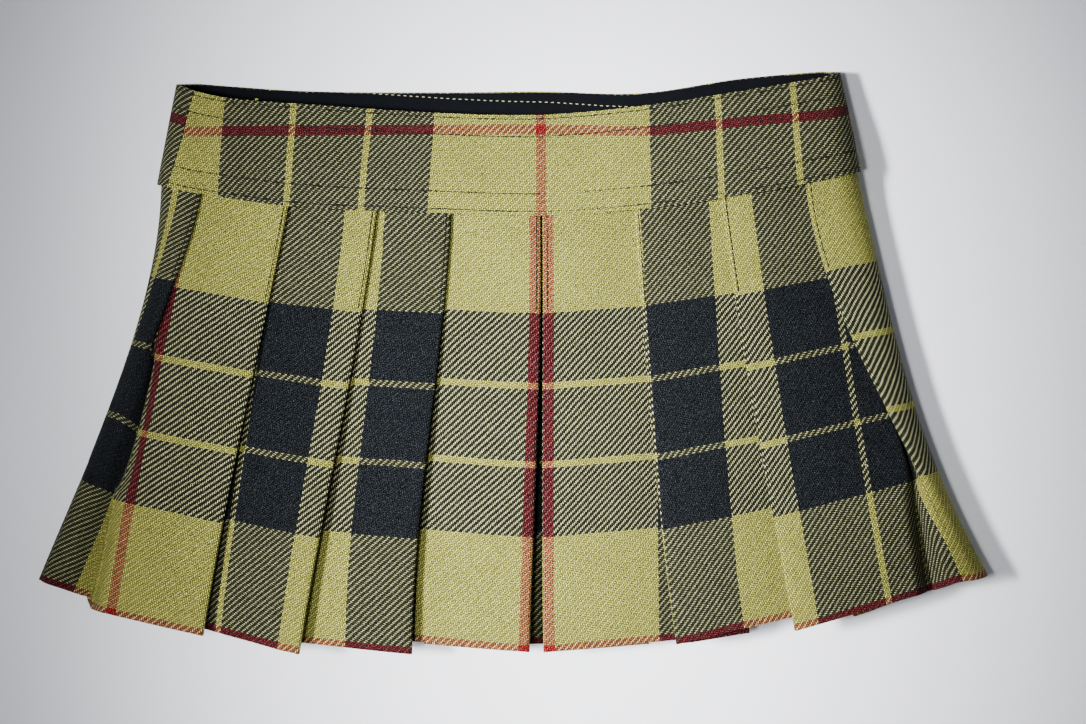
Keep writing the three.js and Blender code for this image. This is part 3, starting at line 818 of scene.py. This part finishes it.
def wool_twill():
    """Napped wool twill in the check."""
    material, n, shader = new_material("wool_twill")
    cloth = n.add("ShaderNodeUVMap", uv_map="cloth").outputs[0]
    place = n.add("ShaderNodeTexCoord").outputs["Object"]
    # The threads wander a little, at two sizes.
    for scale, reach in WANDER:
        wander = n.add("ShaderNodeTexNoise", {"Vector": place, "Scale": scale, "Detail": 1.0})
        shift = n.add("ShaderNodeVectorMath", {0: wander.outputs["Color"], 1: (0.5, 0.5, 0.5)},
                      operation="SUBTRACT")
        shift = n.add("ShaderNodeVectorMath", {0: shift.outputs[0], "Scale": reach}, operation="SCALE")
        cloth = n.add("ShaderNodeVectorMath", {0: cloth, 1: shift.outputs[0]}, operation="ADD").outputs[0]
    twill = group(n, TWILL, {"Cloth": cloth})
    (warp, warp_sheer), (weft, weft_sheer) = (
        group(n, CHECK_COLOURS, {"Place": twill.outputs[way]}).outputs
        for way in ("Warp place", "Weft place"))
    on_top = twill.outputs["Warp on top"]
    sheer = n.add("ShaderNodeMix", {"Factor": on_top, "A": weft_sheer, "B": warp_sheer},
                  data_type="FLOAT").outputs[0]
    relief = twill.outputs["Relief"]
    # the colour runs from the threads' own down to the painted shade between them as the relief falls
    colour = group(n, NAP_AND_PAINTED_SHADE, {"Top": n.mix(on_top, weft, warp), "Under": n.mix(on_top, warp, weft),
                            "Relief": n.math("POWER", relief, PAINTED_SHADE_REACH), "Sheer": sheer}).outputs[0]
    # Painted light and shade: each thread is painted lighter on its crown and darker at its edges, and the
    # warp, which stands proud of the weft, is painted lighter than it, so the twill shows in plain areas too.
    shade = n.math("MULTIPLY", n.math("MULTIPLY_ADD", relief, PAINTED_CROWN_LIGHT, 0.0),
                   n.math("MULTIPLY_ADD", on_top, PAINTED_WARP_EXTRA_LIGHT, PAINTED_WEFT_LIGHT))
    yarn = n.math("MULTIPLY_ADD", twill.outputs["Yarn"], YARN_SPREAD, 1 - YARN_SPREAD / 2)
    patch = n.add("ShaderNodeTexNoise", {"Vector": place, "Scale": 45.0, "Detail": 3.0}).outputs[0]
    patch = n.math("MULTIPLY_ADD", patch, PATCH_SPREAD, 1 - PATCH_SPREAD / 2)
    fuzz = n.add("ShaderNodeTexNoise", {"Vector": place, "Scale": 2200.0, "Detail": 2.0}).outputs[0]
    nap = n.math("MAXIMUM", n.math("MULTIPLY_ADD", fuzz, FIBRE_ENDS, -FIBRE_ENDS / 2), 0.0)
    fuzz = n.math("MAXIMUM", n.math("MULTIPLY_ADD", fuzz, 2.4, -0.2), 0.1)
    # the painted light and shade of the threads, times the random tone of yarn, patches and fuzz
    value = n.math("MULTIPLY", n.math("MULTIPLY", shade, yarn), n.math("MULTIPLY", patch, fuzz))
    value = n.add("ShaderNodeCombineXYZ", {0: value, 1: value, 2: value}).outputs[0]
    colour = n.mix(1.0, colour, value, "MULTIPLY")
    nap = n.add("ShaderNodeCombineXYZ", {0: nap, 1: nap, 2: nap}).outputs[0]
    colour = n.mix(1.0, colour, nap, "ADD")  # pale ends of fibre, which show on the navy
    n.tree.links.new(colour, shader.inputs["Base Color"])
    height = n.math("ADD", relief, n.math("MULTIPLY", fuzz, 0.25))
    bump = n.add("ShaderNodeBump", {"Height": height, "Strength": 0.8, "Distance": 0.00025})
    n.tree.links.new(bump.outputs[0], shader.inputs["Normal"])
    set_finish(shader, roughness=0.85, specular=0.05, sheen=0.008, sheen_roughness=0.45)
    return material


FACING_THREAD = 0.5  # one thread of the facing to the next


def navy_cloth():
    """The plain facing."""
    material, n, shader = new_material("navy_cloth")
    cloth = n.add("ShaderNodeUVMap", uv_map="cloth").outputs[0]
    place = n.add("ShaderNodeTexCoord").outputs["Object"]
    wave = n.add("ShaderNodeVectorMath", {0: cloth, "Scale": 2 * math.pi / FACING_THREAD},
                 operation="SCALE").outputs[0]
    split = n.add("ShaderNodeSeparateXYZ", {0: wave})
    weave = n.math("MULTIPLY", n.math("SINE", split.outputs[0]), n.math("SINE", split.outputs[1]))
    cloud = n.add("ShaderNodeTexNoise", {"Vector": place, "Scale": 300.0, "Detail": 4.0}).outputs[0]
    tone = n.math("MULTIPLY_ADD", weave, 0.12, n.math("MULTIPLY_ADD", cloud, 0.5, 0.2))
    colour = n.mix(tone, srgb(4, 5, 8), srgb(14, 16, 20))
    n.tree.links.new(colour, shader.inputs["Base Color"])
    bump = n.add("ShaderNodeBump", {"Height": weave, "Strength": 0.4, "Distance": 0.0001})
    n.tree.links.new(bump.outputs[0], shader.inputs["Normal"])
    set_finish(shader, roughness=0.8, specular=0.04, sheen=0.004)
    return material


def thread(name, dark, light):
    """Sewing thread, twisted, with a soft shine."""
    material, n, shader = new_material(name)
    place = n.add("ShaderNodeTexCoord").outputs["Object"]
    twist = n.add("ShaderNodeTexNoise", {"Vector": place, "Scale": 3500.0, "Detail": 1.0}).outputs[0]
    n.tree.links.new(n.mix(twist, dark, light), shader.inputs["Base Color"])
    bump = n.add("ShaderNodeBump", {"Height": twist, "Strength": 0.3, "Distance": 0.00005})
    n.tree.links.new(bump.outputs[0], shader.inputs["Normal"])
    set_finish(shader, roughness=0.7, specular=0.1)
    return material


WOOL = wool_twill()
LINING = navy_cloth()
DARK_THREAD = thread("dark_thread", srgb(8, 9, 11), srgb(30, 31, 31))
PALE_THREAD = thread("pale_thread", srgb(150, 148, 105), srgb(215, 212, 170))
LINT_FIBRE = thread("lint_fibre", srgb(150, 155, 158), srgb(215, 218, 220))
KNOT_THREAD = thread("knot_thread", srgb(120, 135, 30), srgb(185, 200, 60))

# ---- Sewing -------------------------------------------------------------------------------------------
STITCH = 2.5  # one stitch to the next
THICK = 0.45  # thread
BEAD = 1.08 * STITCH  # a stitch runs a little into the next


def stitch_tree(material):
    """Stitches along a line: a bead of thread for each, lying along it."""
    tree = bpy.data.node_groups.new("Stitches", "GeometryNodeTree")
    face = tree.interface
    face.new_socket("Geometry", in_out="INPUT", socket_type="NodeSocketGeometry")
    for label, value in (("Pitch", STITCH * MM), ("Stitch", BEAD * MM), ("Thread", THICK * MM)):
        face.new_socket(label, in_out="INPUT", socket_type="NodeSocketFloat").default_value = value
    face.new_socket("Geometry", in_out="OUTPUT", socket_type="NodeSocketGeometry")
    n = Nodes(tree)
    given, out = tree.nodes.new("NodeGroupInput"), tree.nodes.new("NodeGroupOutput")
    line = n.add("GeometryNodeMeshToCurve", {"Mesh": given.outputs["Geometry"]})
    spaced = n.add("GeometryNodeResampleCurve", {"Curve": line.outputs[0]})
    spaced.mode = "LENGTH"
    tree.links.new(given.outputs["Pitch"], spaced.inputs["Length"])
    tangent = n.add("GeometryNodeInputTangent").outputs[0]
    turn = n.add("FunctionNodeAlignRotationToVector", {"Vector": tangent}, axis="X").outputs[0]
    bead = n.add("GeometryNodeMeshUVSphere", {"Segments": 6, "Rings": 4, "Radius": 0.5}).outputs[0]
    size = n.add("ShaderNodeCombineXYZ", {0: given.outputs["Stitch"], 1: given.outputs["Thread"],
                                          2: given.outputs["Thread"]}).outputs[0]
    bead = n.add("GeometryNodeTransform", {"Geometry": bead, "Scale": size}).outputs[0]
    many = n.add("GeometryNodeInstanceOnPoints",
                 {"Points": spaced.outputs[0], "Instance": bead, "Rotation": turn})
    real = n.add("GeometryNodeRealizeInstances", {"Geometry": many.outputs[0]})
    smooth = n.add("GeometryNodeSetShadeSmooth", {0: real.outputs[0]})
    dressed = n.add("GeometryNodeSetMaterial", {"Geometry": smooth.outputs[0], "Material": material})
    tree.links.new(dressed.outputs[0], out.inputs[0])
    return tree


def sew(name, lines, material, **sizes):
    """A piece made of stitches along the lines, which are lists of points in metres."""
    mesh = bpy.data.meshes.new(name + "_lines")
    verts, edges = [], []
    for line in lines:
        first = len(verts)
        verts += line
        edges += [(first + i, first + i + 1) for i in range(len(line) - 1)]
    mesh.from_pydata(verts, edges, [])
    guide = bpy.data.objects.new(name + "_lines", mesh)
    bpy.context.collection.objects.link(guide)
    sewing = guide.modifiers.new("Stitches", "NODES")
    sewing.node_group = stitch_tree(material)
    for item in sewing.node_group.interface.items_tree:
        if item.in_out == "INPUT" and item.name in sizes:
            sewing[item.identifier] = sizes[item.name] * MM
    evaluated = guide.evaluated_get(bpy.context.evaluated_depsgraph_get())
    made = bpy.data.objects.new(name, bpy.data.meshes.new_from_object(evaluated))
    bpy.context.collection.objects.link(made)
    guide.modifiers.remove(sewing)
    bpy.data.objects.remove(guide)
    return made


def beside_edge(half, k, inset, proud):
    """A line down the panel of fold k, inset from its edge, from the seam to where the sewing ends."""
    line = []
    for row in half:
        if not -1 <= row.v <= STITCHED:
            continue
        edge = row.edges[k]
        j = edge
        while row.run[edge] - row.run[j] < inset + CLOTH:
            j -= 1
        a, b = row.points[j], row.points[j + 1]
        f = (row.run[edge] - inset - CLOTH - row.run[j]) / (row.run[j + 1] - row.run[j])
        x, y, z = (lerp(p, q, f) for p, q in zip(a, b))
        rx, rz = b[0] - a[0], b[2] - a[2]
        long = math.hypot(rx, rz)
        out = CLOTH / 2 + proud
        out *= 1 if row.sign < 0 else -1
        px, pz = x - rz / long * out, z + rx / long * out
        line.append(metres(px, y, max(THICK / 2, pz + ripple(x, y, z))))
    return line


def round_band(w, inset, start, end, steps):
    points = [band_point(lerp(start, end, i / steps), w, inset) for i in range(steps + 1)]
    return [metres(x, y, max(THICK / 2, z)) for x, y, z in points]


# ---- Making the garment -------------------------------------------------------------------------------
def dress(piece, material, node):
    piece.data.materials.append(material)
    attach(piece, "root")
    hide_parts(node)


def puffed(i, j):
    return stitch_dent(BAND_ROWS[i])


skirt_front = shell("skirt_front_cloth", front_rows, CLOTH)
skirt_back = shell("skirt_back_cloth", back_rows, CLOTH)
band_front = shell("band_front_cloth", band_grid(0), BAND, puff=puffed)
band_back = shell("band_back_cloth", band_grid(1), BAND)
facing = shell("facing_cloth", facing_grid(), FACING, ring=True)

TOPSTITCH_INSET = 0.16 - BAND / 2  # from the middle of the band; negative is outwards
TOPSTITCH_RUN = (-0.15, 3.78)  # where it starts and ends, in the q of band_point
TOPSTITCH_POINTS = 700
topstitch_lines = [round_band(w, TOPSTITCH_INSET, *TOPSTITCH_RUN, TOPSTITCH_POINTS) for w in STITCH_ROWS]
topstitch = sew("band_topstitch", topstitch_lines, DARK_THREAD)

EDGESTITCH_INSET = 0.5  # from the pleat's edge
EDGESTITCH_PROUD = 0.08  # above the cloth
SEWN_FOLDS = range(SEAM_PLEAT, len(LEFT_FOLDS))  # the folds whose edge stitching shows
edge_lines = [beside_edge(half, k, EDGESTITCH_INSET, EDGESTITCH_PROUD) for half in HALVES for k in SEWN_FOLDS]
edgestitch = sew("pleat_edgestitch", [line for line in edge_lines if line], DARK_THREAD)

FACING_STITCH_X = (-53.6, 49.0)  # the stretch of it that shows
FACING_STITCH_STEPS = 200
FACING_STITCH_PROUD = 0.02
# How far below the top edge of the facing it runs, by x.
FACING_STITCH_DROP = [(-53.6, 0.55), (-4.5, 3.4), (17.3, 4.0), (44.9, 4.7), (60.0, 5.2)]


def facing_stitch_line():
    """Along the inside of the back, just under its top edge."""
    left, right = BAND_SIDES["top"]
    inset = FACING_IN + FACING / 2 + FACING_STITCH_PROUD
    line = []
    for i in range(FACING_STITCH_STEPS + 1):
        x = lerp(*FACING_STITCH_X, i / FACING_STITCH_STEPS)
        share = (x - left) / (right - left)
        line.append(metres(*band_point(3 - share, BAND_WIDTH - through(FACING_STITCH_DROP, x), inset)))
    return line


facing_stitch = sew("facing_stitch", [facing_stitch_line()], PALE_THREAD, Pitch=2.2, Stitch=1.3, Thread=0.3)

LINT = [(130.4, 23.6, 1.1), (128.5, -37.8, 0.9), (-36.5, 11.3, 1.6)]  # x, y and length of each loose fibre
KNOT = (-92.9, 95.0, 0.8)
LIES_ABOVE = 0.25  # a loose fibre, above the face of the cloth


def on_cloth(grid, x, y, length):
    """A short curl that lies on the nearest part of the cloth."""
    near = min((p for row in grid for p in row), key=lambda p: math.hypot(p[0] - x, p[1] - y) - 0.05 * p[2])
    z = near[2] + CLOTH / 2 + LIES_ABOVE + ripple(x, y, near[2])
    turns = [math.radians(20 + 40 * i) for i in range(6)]
    return [metres(x + length / 2 * math.cos(a), y + length / 3 * math.sin(a), z) for a in turns]


lint_lines = [on_cloth(front_rows, *fibre) for fibre in LINT]
lint = sew("lint", lint_lines, LINT_FIBRE, Pitch=0.3, Stitch=0.35, Thread=0.2)
knot = sew("thread_knot", [on_cloth(band_grid(0), *KNOT)], KNOT_THREAD, Pitch=0.3, Stitch=0.6, Thread=0.45)

# The skirt's cut widths come from the pleat plan and not from the mesh. The side seam is about half way
# through the fourth pleat from centre back on each side, so the back takes the cloth of seven of the
# sixteen pleats and the front that of nine.
dress(skirt_front, WOOL, "skirt_front")
dress(skirt_back, WOOL, "skirt_back")
dress(band_front, WOOL, "waistband_front")
dress(band_back, WOOL, "waistband_back")
dress(facing, LINING, "waistband_facing")
SEWING = ((topstitch, "tartan"), (edgestitch, "tartan"), (facing_stitch, "facing"),
          (lint, "tartan"), (knot, "tartan"))
for piece, slot in SEWING:
    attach(piece, "root")

# ---- Floor, light and camera --------------------------------------------------------------------------
REACH = 1.5  # of the floor, each way
FLOOR_BELOW = 0.0002  # so that the floor and the underside of the cloth don't share a plane
floor_mesh = bpy.data.meshes.new("floor")
floor_corners = [(-REACH, -REACH, 0), (REACH, -REACH, 0), (REACH, REACH, 0), (-REACH, REACH, 0)]
floor_mesh.from_pydata(floor_corners, [], [(0, 1, 2, 3)])
floor = bpy.data.objects.new("floor", floor_mesh)
floor.location.z = -FLOOR_BELOW
bpy.context.collection.objects.link(floor)
floor_finish, _, floor_shader = new_material("pale_floor")
floor_shader.inputs["Base Color"].default_value = srgb(243, 244, 250)
set_finish(floor_shader, roughness=0.9)
floor_mesh.materials.append(floor_finish)


def spot(name, power, place, aim, cone, softness):
    """A lamp of power in watts, with a cone in degrees and softness as its radius."""
    data = bpy.data.lights.new(name, "SPOT")
    data.energy, data.shadow_soft_size = power, softness
    data.spot_size, data.spot_blend = math.radians(cone), 1.0
    lamp = bpy.data.objects.new(name, data)
    lamp.location = place
    lamp.rotation_euler = (Vector(aim) - Vector(place)).to_track_quat("-Z", "Y").to_euler()
    bpy.context.collection.objects.link(lamp)


KEY_X, KEY_HEIGHT = -0.476, 0.737
KEY_AIM_X = 0.036
for place_y in (-0.15, -0.03, 0.09):  # a row of three at the left, for one long soft light
    spot("key", power=106.0, place=(KEY_X, place_y, KEY_HEIGHT), aim=(KEY_AIM_X, place_y, 0),
         cone=18.2, softness=0.095)
spot("fill", power=85.0, place=(-0.3, -0.1, 1.6), aim=(-0.02, -0.03, 0), cone=22.0, softness=0.12)

WORLD_STRENGTH = 0.2
world = bpy.context.scene.world or bpy.data.worlds.new("studio")
bpy.context.scene.world = world
world.use_nodes = True
world.node_tree.nodes["Background"].inputs[0].default_value = srgb(228, 234, 248)
world.node_tree.nodes["Background"].inputs[1].default_value = WORLD_STRENGTH

CAMERA_HEIGHT = 2.2
TRUE_HEIGHT = 0.015  # where FRAME_WIDTH holds: about the height of the front of the skirt
FRAME_WIDTH = 0.3949
SENSOR_WIDTH = 36.0
camera_data = bpy.data.cameras.new("camera")
camera_data.sensor_width = SENSOR_WIDTH
camera_data.lens = SENSOR_WIDTH * (CAMERA_HEIGHT - TRUE_HEIGHT) / FRAME_WIDTH
camera_data.clip_end = 10.0
camera = bpy.data.objects.new("camera", camera_data)  # unturned, it looks straight down
camera.location = (0.0108, -0.00015, CAMERA_HEIGHT)
bpy.context.collection.objects.link(camera)
bpy.context.scene.camera = camera
